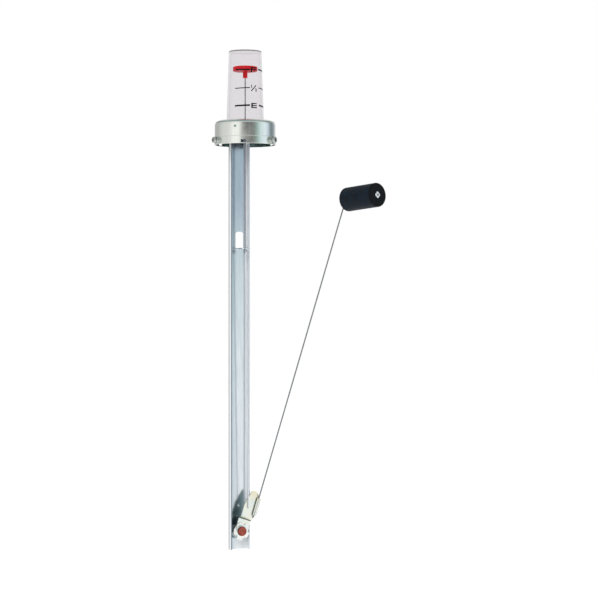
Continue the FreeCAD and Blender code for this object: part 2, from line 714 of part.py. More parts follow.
save("float_washer_outer", float_washer(FLOAT_START + FLOAT_LENGTH))
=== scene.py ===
import json
import math

import bmesh
import bpy
from mathutils import Matrix, Vector


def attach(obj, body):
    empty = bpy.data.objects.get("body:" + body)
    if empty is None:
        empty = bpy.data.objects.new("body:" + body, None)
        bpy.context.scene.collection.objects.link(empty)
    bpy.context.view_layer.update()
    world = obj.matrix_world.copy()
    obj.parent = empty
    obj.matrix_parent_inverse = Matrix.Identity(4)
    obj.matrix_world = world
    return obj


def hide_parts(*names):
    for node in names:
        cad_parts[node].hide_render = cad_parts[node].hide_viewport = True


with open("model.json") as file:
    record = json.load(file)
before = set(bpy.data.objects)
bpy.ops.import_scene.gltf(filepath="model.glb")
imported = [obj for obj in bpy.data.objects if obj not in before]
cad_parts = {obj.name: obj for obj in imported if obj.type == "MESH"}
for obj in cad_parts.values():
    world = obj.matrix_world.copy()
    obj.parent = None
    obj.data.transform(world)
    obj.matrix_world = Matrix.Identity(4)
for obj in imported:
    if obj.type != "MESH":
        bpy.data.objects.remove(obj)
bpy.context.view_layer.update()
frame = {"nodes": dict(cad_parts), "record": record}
nodes = frame["nodes"]

MM = 0.001

# Where the gauge's own parts lie, in millimetres
CAP_TOP = 9.0
CAP_RADIUS = 32.0
DOME_BASE_RADIUS = 19.5
DOME_TOP_RADIUS = 17.05
DOME_TOP = 82.2
STEM_LEFT = -13.0
STEM_RIGHT = 9.0
STEM_FRONT = 6.7
STEM_BACK = 14.2
STEM_FOOT = -441.5
PIVOT_X = -2.0
PIVOT_Z = -422.1
STAR_WASHER_SEAT = 4.85
LEVER_LEAN = math.radians(18.4)
FLOAT_AXIS = Vector((0.241, -0.968, 0.075)).normalized()
FLOAT_HEEL = Vector((121.87, 0.5, -70.95))
FLOAT_END = 48.9

# Push-on washers in millimetres, with the number of their teeth
STAR_WASHER = {"Bore": 4.95, "Root": 6.9, "Tip": 9.25, "Notch": 0.0, "Lip": 0.55, "Teeth": 5}
STAR_WASHER_SHEET = 0.6
FLOAT_WASHER = {"Bore": 0.8, "Root": 2.5, "Tip": 3.3, "Notch": 0.9, "Lip": 0.4, "Teeth": 4}
FLOAT_WASHER_SHEET = 0.3

# Marks on the dome: heights and sizes in millimetres, places in degrees from the front towards +X
FULL_MARK = 61.3
HALF_MARK = 42.0
EMPTY_MARK = 23.7
LEFT_BAR_MIDDLE = -36.5
LEFT_BAR_SPAN = 50
RIGHT_BAR_MIDDLE = 41.5
RIGHT_BAR_SPAN = 40
LETTER_MIDDLE = 2.5
FRACTION_MIDDLE = 2.0
INK_THICK = 0.06
INK_SUNK = 0.02
BEND_STEP = 0.5

# Camera and lamps, in metres
CAMERA_SIDE = math.radians(28.5)
CAMERA_DISTANCE = 2.137
CAMERA_SHIFT = 0.0565
CAMERA_HEIGHT = -0.1779
CAMERA_LENS_MM = 122.5
LAMP_AIM = Vector((0, 0, -0.2))
FLOOR_HALF = 8
FLOOR_LEVEL = -0.70

# Soft boxes and darker gaps round the gauge: angle in the plan from -Y towards +X, then light.
# The cap's wall mirrors the upper ones and the stem the lower ones.
UPPER_ROOM = (
    (-180, 0.50), (-150, 0.52), (-133, 0.66), (-112, 0.80), (-97, 0.80), (-84, 0.92), (-72, 1.10),
    (-60, 1.12), (-50, 0.98), (-43, 0.66), (-36, 0.32), (-28, 0.17), (-14, 0.12), (-3, 0.14),
    (7, (0.20, 0.22, 0.21)), (15, (0.24, 0.34, 0.33)), (23, (0.44, 0.58, 0.58)), (32, (0.64, 0.80, 0.82)),
    (44, (0.84, 0.94, 1.04)), (56, (0.90, 1.00, 1.12)), (66, (0.76, 0.86, 1.00)), (76, (0.46, 0.54, 0.62)),
    (86, (0.20, 0.25, 0.29)), (100, (0.28, 0.31, 0.35)), (113, (0.42, 0.46, 0.52)), (132, 0.92),
    (160, 0.70), (180, 0.50),
)
LOWER_ROOM = (
    (-180, 0.15), (-168, 0.20), (-155, 1.20), (-148, 1.30), (-100, 0.85), (-60, 1.1), (-38, 1.90), (-18, 1.75),
    (8, 1.05), (28, 1.28), (55, 1.05), (85, 0.55), (110, 0.65), (135, 1.0), (150, 0.25), (180, 0.15),
)
CEILING = (0.72, 0.72, 0.73, 1)
WHITE = (1, 1, 1, 1)


def linear(code):
    """An sRGB hex colour as the linear numbers that shaders take."""
    levels = [int(code[i:i + 2], 16) / 255 for i in (1, 3, 5)]
    return [c / 12.92 if c <= 0.04045 else ((c + 0.055) / 1.055) ** 2.4 for c in levels] + [1.0]


def add(tree, kind, inputs=None, **settings):
    """Add a node, set it up, and link or fill its inputs."""
    node = tree.nodes.new(kind)
    for key, value in settings.items():
        setattr(node, key, value)
    for key, value in (inputs or {}).items():
        if isinstance(value, bpy.types.NodeSocket):
            tree.links.new(value, node.inputs[key])
        else:
            node.inputs[key].default_value = value
    return node


def set_ramp(node, stops):
    """Put (position, grey or colour) stops on a colour ramp."""
    ramp = node.color_ramp
    while len(ramp.elements) < len(stops):
        ramp.elements.new(0.5)
    for element, (position, value) in zip(ramp.elements, stops):
        element.position = position
        if isinstance(value, str):
            element.color = linear(value)
        else:
            element.color = (*value, 1) if isinstance(value, tuple) else (value, value, value, 1)
    return node.outputs["Color"]


def ray_mask(tree, kinds):
    """1 for rays of any of these kinds, 0 for the others."""
    path = add(tree, "ShaderNodeLightPath").outputs
    mask = path[kinds[0]]
    for kind in kinds[1:]:
        mask = add(tree, "ShaderNodeMath", {0: mask, 1: path[kind]}, operation="MAXIMUM").outputs[0]
    return mask


# Camera and studio


def set_camera():
    """Level camera to the left of the stem's open side, as the photograph was taken."""
    bpy.context.scene.view_settings.view_transform = "Standard"
    ahead = Vector((math.sin(CAMERA_SIDE), math.cos(CAMERA_SIDE), 0))
    right = Vector((math.cos(CAMERA_SIDE), -math.sin(CAMERA_SIDE), 0))
    data = bpy.data.cameras.new("camera")
    data.lens = CAMERA_LENS_MM
    data.sensor_width = 36
    camera = bpy.data.objects.new("camera", data)
    camera.location = right * CAMERA_SHIFT - ahead * CAMERA_DISTANCE + Vector((0, 0, CAMERA_HEIGHT))
    camera.rotation_euler = ahead.to_track_quat("-Z", "Y").to_euler()
    bpy.context.scene.collection.objects.link(camera)
    bpy.context.scene.camera = camera


def set_world():
    """White room with soft boxes and darker gaps round the gauge, which its metal shows."""
    world = bpy.data.worlds.new("studio")
    bpy.context.scene.world = world
    world.use_nodes = True
    tree = world.node_tree
    tree.nodes.clear()
    way = add(tree, "ShaderNodeSeparateXYZ", {0: add(tree, "ShaderNodeTexCoord").outputs["Generated"]}).outputs
    front = add(tree, "ShaderNodeMath", {0: way["Y"], 1: -1.0}, operation="MULTIPLY")
    turn = add(tree, "ShaderNodeMath", {0: way["X"], 1: front.outputs[0]}, operation="ARCTAN2")
    share = add(tree, "ShaderNodeMapRange", {"Value": turn.outputs[0], "From Min": -math.pi, "From Max": math.pi})
    low, high = (
        set_ramp(add(tree, "ShaderNodeValToRGB", {0: share.outputs["Result"]}),
                 [((angle + 180) / 360, light) for angle, light in room])
        for room in (LOWER_ROOM, UPPER_ROOM))
    room = low
    for above, begins, ends in ((high, -0.045, 0.045), (CEILING, 0.30, 0.90)):
        height = add(tree, "ShaderNodeMapRange", {"Value": way["Z"], "From Min": begins, "From Max": ends})
        room = add(tree, "ShaderNodeMix", {"Factor": height.outputs["Result"], "A": room, "B": above},
                   data_type="RGBA").outputs[2]
    lit = add(tree, "ShaderNodeBackground", {"Color": room, "Strength": 1.0})
    white = add(tree, "ShaderNodeBackground", {"Color": WHITE, "Strength": 1.0})
    seen = ray_mask(tree, ["Is Camera Ray", "Is Transmission Ray"])
    both = add(tree, "ShaderNodeMixShader", {0: seen, 1: lit.outputs[0], 2: white.outputs[0]})
    add(tree, "ShaderNodeOutputWorld", {"Surface": both.outputs[0]})


def add_lamp(name, place, size, power):
    """A soft box aimed at the stem's middle, which no metal mirrors."""
    data = bpy.data.lights.new(name, "AREA")
    data.shape = "RECTANGLE"
    data.size, data.size_y = size
    data.energy = power
    lamp = bpy.data.objects.new(name, data)
    lamp.location = place
    lamp.rotation_euler = (LAMP_AIM - Vector(place)).to_track_quat("-Z", "Y").to_euler()
    lamp.visible_glossy = False
    bpy.context.scene.collection.objects.link(lamp)


def set_floor():
    """Pale floor, low enough for the float arm to hang down empty."""
    mesh = bpy.data.meshes.new("floor")
    corners = [(x * FLOOR_HALF, y * FLOOR_HALF, FLOOR_LEVEL) for x, y in ((-1, -1), (1, -1), (1, 1), (-1, 1))]
    mesh.from_pydata(corners, [], [(0, 1, 2, 3)])
    floor = bpy.data.objects.new("floor", mesh)
    bpy.context.scene.collection.objects.link(floor)
    material = bpy.data.materials.new("pale_floor")
    material.use_nodes = True
    tree = material.node_tree
    tree.nodes.clear()
    seen = ray_mask(tree, ["Is Camera Ray", "Is Transmission Ray", "Is Glossy Ray"])
    share = add(tree, "ShaderNodeMath", {0: seen, 1: 0.6}, operation="MULTIPLY")
    paint = add(tree, "ShaderNodeBsdfDiffuse", {"Color": linear("#F7F7F7")})
    glow = add(tree, "ShaderNodeEmission", {"Color": WHITE, "Strength": 1.3})
    mixed = add(tree, "ShaderNodeMixShader", {0: share.outputs[0], 1: paint.outputs[0], 2: glow.outputs[0]})
    add(tree, "ShaderNodeOutputMaterial", {"Surface": mixed.outputs[0]})
    mesh.materials.append(material)


# Patterns and masks, measured on the object


def start(name, base, metallic=0.0, roughness=0.5, ior=None):
    """A new material, its tree, its shader and the point on the object."""
    material = bpy.data.materials.new(name)
    material.use_nodes = True
    tree = material.node_tree
    tree.nodes.clear()
    shader = add(tree, "ShaderNodeBsdfPrincipled", {
        "Base Color": linear(base), "Metallic": metallic, "Roughness": roughness})
    if ior:
        shader.inputs["IOR"].default_value = ior
    add(tree, "ShaderNodeOutputMaterial", {"Surface": shader.outputs[0]})
    return material, tree, shader, add(tree, "ShaderNodeTexCoord").outputs["Object"]


def grain(tree, point, size, detail=3.0, rough=0.55):
    """Noise whose cells are size millimetres across, or (x, y, z) millimetres."""
    sizes = size if isinstance(size, tuple) else (size, size, size)
    stretch = add(tree, "ShaderNodeMapping", {"Vector": point, "Scale": [1 / (s * MM) for s in sizes]})
    return add(tree, "ShaderNodeTexNoise", {"Vector": stretch.outputs[0], "Scale": 1.0, "Detail": detail,
                                            "Roughness": rough}).outputs["Fac"]


def drive(tree, shader, socket, value, low, high, span=(0.3, 0.7)):
    """Let a pattern move one of the shader's inputs between two values."""
    ranged = add(tree, "ShaderNodeMapRange", {"Value": value, "From Min": span[0], "From Max": span[1],
                                              "To Min": low, "To Max": high})
    tree.links.new(ranged.outputs["Result"], shader.inputs[socket])


def blend_colours(tree, shader, value, colours, span=(0.3, 0.7)):
    """Let a pattern move the base colour through two or more colours."""
    first, last = span
    stops = [(first + (last - first) * i / (len(colours) - 1), c) for i, c in enumerate(colours)]
    tree.links.new(set_ramp(add(tree, "ShaderNodeValToRGB", {0: value}), stops), shader.inputs["Base Color"])


def place_mask(tree, value, low, high):
    """0 before one place and 1 past another, both in millimetres, along a measure in metres."""
    return add(tree, "ShaderNodeMapRange", {"Value": value, "From Min": low * MM, "From Max": high * MM},
               interpolation_type="SMOOTHSTEP").outputs["Result"]


def strip_mask(tree, value, low, high, soft=0.25):
    """1 between two places in millimetres along a measure in metres, 0 outside them."""
    return add(tree, "ShaderNodeMath", {0: place_mask(tree, value, low - soft, low + soft),
                                        1: place_mask(tree, value, high + soft, high - soft)},
               operation="MULTIPLY").outputs[0]


def from_axis(tree, axes):
    """Distance from the cap's axis."""
    flat = add(tree, "ShaderNodeCombineXYZ", {"X": axes["X"], "Y": axes["Y"]})
    return add(tree, "ShaderNodeVectorMath", {0: flat.outputs[0]}, operation="LENGTH").outputs["Value"]


def cover(tree, shader, mask, colour):
    """Lay one more colour over the base colour where a mask says so."""
    under = shader.inputs["Base Color"].links[0].from_socket
    over = add(tree, "ShaderNodeMix", {"Factor": mask, "A": under, "B": linear(colour)}, data_type="RGBA")
    tree.links.new(over.outputs[2], shader.inputs["Base Color"])


def raise_relief(tree, shader, heights):
    """Bump from (pattern, height in millimetres) pairs."""
    normal = None
    for value, height in heights:
        inputs = {"Height": value, "Strength": 1.0, "Distance": height * MM}
        if normal is not None:
            inputs["Normal"] = normal
        normal = add(tree, "ShaderNodeBump", inputs).outputs["Normal"]
    tree.links.new(normal, shader.inputs["Normal"])


# Materials


def drawn_zinc_plate():
    """Deep-drawn steel with bright zinc: warm silver, soft mirror, faint draw lines, and green-grey painted shade
    inside the cap.
    """
    material, tree, shader, point = start("drawn_zinc_plate", "#E2E6DF", 1.0, 0.20)
    lines = grain(tree, point, (0.5, 0.5, 14.0), 4.0)
    cloud = grain(tree, point, 9.0, 2.0)
    speck = grain(tree, point, 0.25, 2.0)
    drive(tree, shader, "Roughness", cloud, 0.13, 0.20)
    blend_colours(tree, shader, lines, ["#DDE1DA", "#E4E8E1", "#EAEEE8"])
    axes = add(tree, "ShaderNodeSeparateXYZ", {0: point}).outputs
    # Painted shade: green-grey over the inside of the cap, within its wall and below its top
    inside = add(tree, "ShaderNodeMath", {
        0: place_mask(tree, from_axis(tree, axes), CAP_RADIUS - 0.5, CAP_RADIUS - 0.8),
        1: place_mask(tree, axes["Z"], CAP_TOP - 1.4, CAP_TOP - 1.8)}, operation="MULTIPLY")
    cover(tree, shader, inside.outputs[0], "#8FA5A1")
    raise_relief(tree, shader, [(lines, 0.004), (speck, 0.003)])
    return material


def rolled_zinc_sheet():
    """Rolled steel sheet with blue-white zinc: cool silver, with fine grain along the strip.

    Painted highlight whitens the flanges and the foot, painted shade greys the left bend, and the sheared edges are
    grey.
    """
    material, tree, shader, point = start("rolled_zinc_sheet", "#CBD3DD", 1.0, 0.18)
    lines = grain(tree, point, (0.35, 0.35, 30.0), 4.0)
    cloud = grain(tree, point, (5.0, 5.0, 22.0), 2.0)
    blend_colours(tree, shader, lines, ["#D0D7DD", "#DCE2E7", "#E8ECF0"])
    axes = add(tree, "ShaderNodeSeparateXYZ", {0: point}).outputs
    # Painted shade: the web is darker towards the left flange and towards the cap
    for measure, low, high, tone in (
            ("X", STEM_LEFT + 10.0, STEM_LEFT + 4.0, "#93ADB6"), ("Z", -150.0, -60.0, "#A8ADC8")):
        shade = add(tree, "ShaderNodeMath", {0: place_mask(tree, axes[measure], low, high), 1: 0.45},
                    operation="MULTIPLY")
        cover(tree, shader, shade.outputs[0], tone)
    # Painted highlight on the left flange's outer face, inside the right flange and on the foot
    flange_end, bend_start = STEM_BACK - 2.8, STEM_BACK - 2.5
    painted_highlight = add(tree, "ShaderNodeMath", {
        0: place_mask(tree, axes["X"], STEM_LEFT + 0.4, STEM_LEFT + 0.1),
        1: place_mask(tree, axes["Y"], bend_start, flange_end)}, operation="MULTIPLY")
    painted_highlight = add(tree, "ShaderNodeMath", {
        0: painted_highlight.outputs[0],
        1: strip_mask(tree, axes["X"], STEM_RIGHT - 2.25, STEM_RIGHT - 0.5, 0.15)}, operation="ADD")
    foot = add(tree, "ShaderNodeMath", {
        0: place_mask(tree, axes["Z"], STEM_FOOT + 15.5, STEM_FOOT + 4.5),
        1: place_mask(tree, axes["X"], STEM_LEFT + 5.0, STEM_LEFT + 9.0)}, operation="MULTIPLY")
    painted_highlight = add(tree, "ShaderNodeMath", {0: painted_highlight.outputs[0], 1: foot.outputs[0]}, operation="MAXIMUM").outputs[0]
    cover(tree, shader, painted_highlight, "#F6F9FB")
    # Painted shade in the left bend: dark grey, with a dark specular tint so that it reflects little
    bend = add(tree, "ShaderNodeMath", {
        0: place_mask(tree, axes["Y"], flange_end, bend_start),
        1: place_mask(tree, axes["X"], STEM_LEFT + 2.1, STEM_LEFT + 1.8)}, operation="MULTIPLY").outputs[0]
    cover(tree, shader, bend, "#3C464E")
    tint = add(tree, "ShaderNodeMix", {"Factor": bend, "A": WHITE, "B": linear("#4A545C")}, data_type="RGBA")
    tree.links.new(tint.outputs[2], shader.inputs["Specular Tint"])
    # Where the highlight is painted, the sheet is also rougher and barely metallic
    frost = add(tree, "ShaderNodeMapRange", {"Value": cloud, "From Min": 0.3, "From Max": 0.7,
                                             "To Min": 0.13, "To Max": 0.22})
    frost = add(tree, "ShaderNodeMath", {0: painted_highlight, 1: 0.34, 2: frost.outputs["Result"]}, operation="MULTIPLY_ADD")
    tree.links.new(frost.outputs[0], shader.inputs["Roughness"])
    drive(tree, shader, "Metallic", painted_highlight, 1.0, 0.05, (0.0, 1.0))
    edge = place_mask(tree, axes["Y"], STEM_FRONT + 0.25, STEM_FRONT + 0.1)
    cover(tree, shader, edge, "#DCE3E8")
    left_edge = add(tree, "ShaderNodeMath", {
        0: edge, 1: place_mask(tree, axes["X"], STEM_LEFT + 2.0, STEM_LEFT + 1.5)}, operation="MULTIPLY")
    cover(tree, shader, left_edge.outputs[0], "#65737B")
    raise_relief(tree, shader, [(lines, 0.004)])
    return material


def plated_fastener():
    """Small turned or headed steel parts with bright zinc: silver with slight clouding, and painted shade on those
    inside the cap.
    """
    material, tree, shader, point = start("plated_fastener", "#B6BBB7", 1.0, 0.26)
    cloud = grain(tree, point, 1.6, 3.0)
    drive(tree, shader, "Roughness", cloud, 0.20, 0.36)
    blend_colours(tree, shader, cloud, ["#A3A8A4", "#B6BBB7", "#C4C8C5"])
    axes = add(tree, "ShaderNodeSeparateXYZ", {0: point}).outputs
    # Painted shade: dark grey-green on the parts inside the cap's skirt
    inside = add(tree, "ShaderNodeMath", {
        0: strip_mask(tree, axes["Z"], -25.0, -5.0),
        1: strip_mask(tree, from_axis(tree, axes), 20.0, CAP_RADIUS - 0.7)}, operation="MULTIPLY")
    cover(tree, shader, inside.outputs[0], "#4C5856")
    raise_relief(tree, shader, [(grain(tree, point, 0.2), 0.003)])
    return material


def spring_washer_steel():
    """Stamped spring steel with nickel: almost white where the light falls on it."""
    material, tree, shader, point = start("spring_washer_steel", "#F2F2EE", 1.0, 0.30)
    drive(tree, shader, "Roughness", grain(tree, point, 1.2), 0.24, 0.40)
    raise_relief(tree, shader, [(grain(tree, point, 0.3), 0.004)])
    return material


def drawn_wire(name, colours, metallic):
    """Cold-drawn steel wire: grey, with die lines along it; the connecting rod's copy is pale and less metallic, a
    painted highlight.
    """
    material, tree, shader, point = start(name, colours[1], metallic, 0.38)
    lines = grain(tree, point, (0.12, 0.12, 9.0), 3.0)
    drive(tree, shader, "Roughness", lines, 0.30, 0.48)
    blend_colours(tree, shader, lines, colours)
    raise_relief(tree, shader, [(lines, 0.004)])
    return material


def yellow_chromate():
    """Zinc plate passivated yellow: almost white, with green clouding and straw at the tip.

    Painted shade darkens its step, the seams along the edge rolled round the wire, and its back, which faces the
    stem.
    """
    material, tree, shader, point = start("yellow_chromate", "#EDEEE8", 1.0, 0.32)
    cloud = grain(tree, point, 6.0, 3.0)
    fine = grain(tree, point, 0.5, 3.0)
    drive(tree, shader, "Roughness", fine, 0.27, 0.40)
    blend_colours(tree, shader, cloud, ["#DCE6E0", "#EDF1EA", "#F3F2E4", "#F1EEE4"], (0.3, 0.72))
    # Measures up the lever and across it, from the pivot
    up = (math.sin(LEVER_LEAN), 0, math.cos(LEVER_LEAN))
    over = (math.cos(LEVER_LEAN), 0, -math.sin(LEVER_LEAN))
    measures = []
    for x, y, z in (up, over):
        reach = add(tree, "ShaderNodeVectorMath", {0: point, 1: (x, y, z)}, operation="DOT_PRODUCT")
        pivot = (PIVOT_X * x + PIVOT_Z * z) * MM
        measures.append(add(tree, "ShaderNodeMath", {0: reach.outputs["Value"], 1: pivot},
                            operation="SUBTRACT").outputs[0])
    along, across = measures
    cover(tree, shader, place_mask(tree, along, 31.0, 44.0), "#F1E9CB")
    # Painted shade in the step and along the seams beside the edge rolled round the wire
    fold_shade = add(tree, "ShaderNodeMath", {
        0: strip_mask(tree, across, 4.3, 4.7, 0.15), 1: strip_mask(tree, across, 7.7, 9.2, 0.15)}, operation="ADD")
    fold_shade = add(tree, "ShaderNodeMath", {0: fold_shade.outputs[0], 1: place_mask(tree, along, 17.5, 19.5)},
                operation="MULTIPLY")
    fold_shade = add(tree, "ShaderNodeMath", {0: fold_shade.outputs[0], 1: strip_mask(tree, along, 12.7, 13.9)},
                operation="MAXIMUM")
    cover(tree, shader, fold_shade.outputs[0], "#5C6862")
    # Painted shade on the back faces, which turn to the stem
    facing = add(tree, "ShaderNodeSeparateXYZ", {0: add(tree, "ShaderNodeTexCoord").outputs["Normal"]})
    behind = add(tree, "ShaderNodeMapRange", {"Value": facing.outputs["Y"], "From Min": 0.4, "From Max": 0.8})
    cover(tree, shader, behind.outputs["Result"], "#8CA0A1")
    raise_relief(tree, shader, [(fine, 0.005)])
    return material


def copper_plated_pin():
    """Turned pin with a thin copper coat: dull red-brown with oxide clouds, and painted shade round its side."""
    material, tree, shader, point = start("copper_plated_pin", "#A8574A", 1.0, 0.42)
    cloud = grain(tree, point, 2.2, 4.0)
    drive(tree, shader, "Roughness", cloud, 0.34, 0.55)
    blend_colours(tree, shader, cloud, ["#7E3E36", "#A8574A", "#B96B58"])
    # Painted shade: near black where the surface turns away from front and back, round the pin's side
    facing = add(tree, "ShaderNodeSeparateXYZ", {0: add(tree, "ShaderNodeTexCoord").outputs["Normal"]})
    turned = add(tree, "ShaderNodeMath", {0: facing.outputs["Y"]}, operation="ABSOLUTE")
    side = add(tree, "ShaderNodeMapRange", {"Value": turned.outputs[0], "From Min": 0.8, "From Max": 0.3})
    cover(tree, shader, side.outputs["Result"], "#2C1916")
    raise_relief(tree, shader, [(grain(tree, point, 0.25), 0.006)])
    return material


def clear_dome_plastic():
    """Moulded clear styrene: almost colourless, glossy, with a breath of lilac, and grey where it is seen edge-on.

    Painted shade draws the rim of its top as a dark grey line, stronger on front faces than on back faces.
    """
    grey = "#8F8C92"
    material, tree, shader, point = start("clear_dome_plastic", grey, 0.0, 0.10, 1.57)
    cloud = grain(tree, point, 14.0, 2.0)
    drive(tree, shader, "Roughness", cloud, 0.06, 0.16)
    clear = add(tree, "ShaderNodeBsdfTransparent", {"Color": linear("#F8F7F8")})
    facing = add(tree, "ShaderNodeLayerWeight", {"Blend": 0.5}).outputs["Facing"]
    steep = add(tree, "ShaderNodeMath", {0: facing, 1: 4.0}, operation="POWER")
    axes = add(tree, "ShaderNodeSeparateXYZ", {0: point}).outputs
    reach = from_axis(tree, axes)
    # The wall's outer face hazes more than its inner one
    taper = (DOME_BASE_RADIUS - DOME_TOP_RADIUS) / (DOME_TOP - CAP_TOP)
    upright = add(tree, "ShaderNodeMath", {0: axes["Z"], 1: taper, 2: reach}, operation="MULTIPLY_ADD")
    outside = place_mask(tree, upright.outputs[0], DOME_BASE_RADIUS - 0.7, DOME_BASE_RADIUS - 0.2)
    most = add(tree, "ShaderNodeMapRange", {"Value": outside, "To Min": 0.10, "To Max": 0.42})
    haze = add(tree, "ShaderNodeMath", {0: steep.outputs[0], 1: most.outputs["Result"], 2: 0.02},
               operation="MULTIPLY_ADD")
    # Painted shade: a dark grey line round the top rim without specular, stronger on front faces
    rim = add(tree, "ShaderNodeMath", {
        0: place_mask(tree, axes["Z"], DOME_TOP - 1.7, DOME_TOP - 1.3), 1: place_mask(tree, reach, 16.1, 16.5)},
        operation="MULTIPLY")
    turned_in = add(tree, "ShaderNodeNewGeometry").outputs["Backfacing"]
    near = add(tree, "ShaderNodeMapRange", {"Value": turned_in, "To Min": 0.80, "To Max": 0.12})
    rim = add(tree, "ShaderNodeMath", {0: rim.outputs[0], 1: near.outputs["Result"]}, operation="MULTIPLY").outputs[0]
    shown = add(tree, "ShaderNodeMath", {0: haze.outputs[0], 1: rim}, operation="MAXIMUM")
    dark = add(tree, "ShaderNodeMix", {"Factor": rim, "A": linear(grey), "B": linear("#3E3D41")}, data_type="RGBA")
    tree.links.new(dark.outputs[2], shader.inputs["Base Color"])
    drive(tree, shader, "Specular IOR Level", rim, 0.5, 0.0, (0.0, 0.6))
    mixed = add(tree, "ShaderNodeMixShader", {0: shown.outputs[0], 1: clear.outputs[0], 2: shader.outputs[0]})
    output = next(n for n in tree.nodes if n.type == "OUTPUT_MATERIAL")
    tree.links.new(mixed.outputs[0], output.inputs["Surface"])
    return material


def red_moulding():
    """Moulded signal-red styrene: saturated red, satin, with light passing into its edges."""
    material, tree, shader, point = start("red_moulding", "#EA1C2A", 0.0, 0.35, 1.57)
    cloud = grain(tree, point, 5.0, 2.0)
    shader.inputs["Specular IOR Level"].default_value = 0.25
    shader.inputs["Specular Tint"].default_value = linear("#FF5A55")
    drive(tree, shader, "Roughness", cloud, 0.36, 0.50)
    blend_colours(tree, shader, cloud, ["#E41826", "#F0242F"])
    shader.inputs["Subsurface Weight"].default_value = 0.25
    shader.inputs["Subsurface Radius"].default_value = (1.0, 0.25, 0.2)
    shader.inputs["Subsurface Scale"].default_value = 1.5 * MM
    return material


def white_acetal():
    """Moulded acetal: off-white, waxy and smooth."""
    material, tree, shader, point = start("white_acetal", "#E6E5DF", 0.0, 0.4, 1.48)
    drive(tree, shader, "Roughness", grain(tree, point, 1.0), 0.34, 0.46)
    return material


def nitrile_rubber():
    """Moulded oil-proof rubber: near black, dull, with a fine mould texture."""
    material, tree, shader, point = start("nitrile_rubber", "#1E1F20", 0.0, 0.75, 1.52)
    fine = grain(tree, point, 0.3, 3.0)
    blend_colours(tree, shader, grain(tree, point, 4.0), ["#1A1B1C", "#262728"])
    drive(tree, shader, "Roughness", fine, 0.65, 0.88)
    raise_relief(tree, shader, [(fine, 0.02)])
    return material


def float_foam():
    """Closed-cell foam with its moulded skin: blue-black, matt, finely pored, blacker on its cut end."""
    material, tree, shader, point = start("float_foam", "#0A1620", 0.0, 0.62, 1.5)
    cells = add(tree, "ShaderNodeTexVoronoi", {"Vector": point, "Scale": 1 / (0.45 * MM)})
    cloud = grain(tree, point, 5.0, 3.0)
    blend_colours(tree, shader, cloud, ["#050C14", "#0A1824", "#112332"])
    along = add(tree, "ShaderNodeVectorMath", {0: point, 1: FLOAT_AXIS}, operation="DOT_PRODUCT").outputs["Value"]
    end = FLOAT_HEEL.dot(FLOAT_AXIS) + FLOAT_END
    cover(tree, shader, place_mask(tree, along, end - 1.0, end - 0.6), "#05080B")
    shader.inputs["Specular IOR Level"].default_value = 0.15
    drive(tree, shader, "Roughness", cloud, 0.50, 0.72)
    raise_relief(tree, shader, [(cells.outputs["Distance"], 0.04), (cloud, 0.07)])
    return material


def printing_ink():
    """Pad-printed ink: flat black, a little uneven in cover."""
    material, tree, shader, point = start("printing_ink", "#111214", 0.0, 0.45, 1.5)
    blend_colours(tree, shader, grain(tree, point, 0.6), ["#040405", "#0A0A0C"])
    shader.inputs["Specular IOR Level"].default_value = 0.2
    drive(tree, shader, "Roughness", grain(tree, point, 0.4), 0.38, 0.58)
    return material


# Shapes


def make_object(name, mesh, material, body, replaces=()):
    """Put a mesh in the scene as a piece that rides on a body."""
    piece = bpy.data.objects.new(name, mesh)
    bpy.context.scene.collection.objects.link(piece)
    mesh.shade_smooth()
    mesh.set_sharp_from_angle(angle=math.radians(35))
    mesh.materials.clear()
    mesh.materials.append(material)
    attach(piece, body)
    if replaces:
        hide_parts(*replaces)


def dome_radius(z):
    """Outer radius of the dome's wall at a height, in millimetres."""
    share = (z - CAP_TOP) / (DOME_TOP - CAP_TOP)
    return DOME_BASE_RADIUS + (DOME_TOP_RADIUS - DOME_BASE_RADIUS) * share


def wrap_on_dome(mesh, middle_deg, z):
    """Bend a flat mesh drawn in millimetres (across, up) round the dome, and give it its thickness."""
    bm = bmesh.new()
    bm.from_mesh(mesh)
    low = min(v.co.x for v in bm.verts)
    high = max(v.co.x for v in bm.verts)
    cuts = int((high - low) / BEND_STEP)
    for i in range(1, cuts):
        everything = bm.verts[:] + bm.edges[:] + bm.faces[:]
        cut = (low + (high - low) * i / cuts, 0, 0)
        bmesh.ops.bisect_plane(bm, geom=everything, plane_co=cut, plane_no=(1, 0, 0))
    solid = bmesh.ops.extrude_face_region(bm, geom=bm.faces[:])
    top = {v for v in solid["geom"] if isinstance(v, bmesh.types.BMVert)}
    for v in bm.verts:
        across, up = v.co.x, v.co.y
        radius = dome_radius(z + up)
        angle = math.radians(middle_deg) + across / dome_radius(z)
        radius += INK_THICK if v in top else INK_SUNK
        v.co = Vector((math.sin(angle) * radius, -math.cos(angle) * radius, z + up)) * MM
    bmesh.ops.recalc_face_normals(bm, faces=bm.faces[:])
    bm.to_mesh(mesh)
    bm.free()
    return mesh


def flat_bar(width, height, slope=0.0, middle=(0.0, 0.0)):
    """A printed bar as a flat mesh, whose right end stands slope millimetres higher than its left."""
    mesh = bpy.data.meshes.new("bar")
    x, y = width / 2, height / 2
    corners = [(-x, -y), (x, -y), (x, y), (-x, y)]
    points = [(middle[0] + px, middle[1] + py + slope * px / width, 0) for px, py in corners]
    mesh.from_pydata(points, [], [(0, 1, 2, 3)])
    return mesh


def flat_letter(arms, width, tall, stroke):
    """A block letter of one upright and level arms, each arm at a share of the height."""
    upright = stroke * 1.5
    bars = [flat_bar(upright, tall, 0, (-(width - upright) / 2, 0))]
    for share in arms:
        bars.append(flat_bar(width - stroke, stroke, 0, (stroke / 2, (tall - stroke) * (share - 0.5))))
    return bars


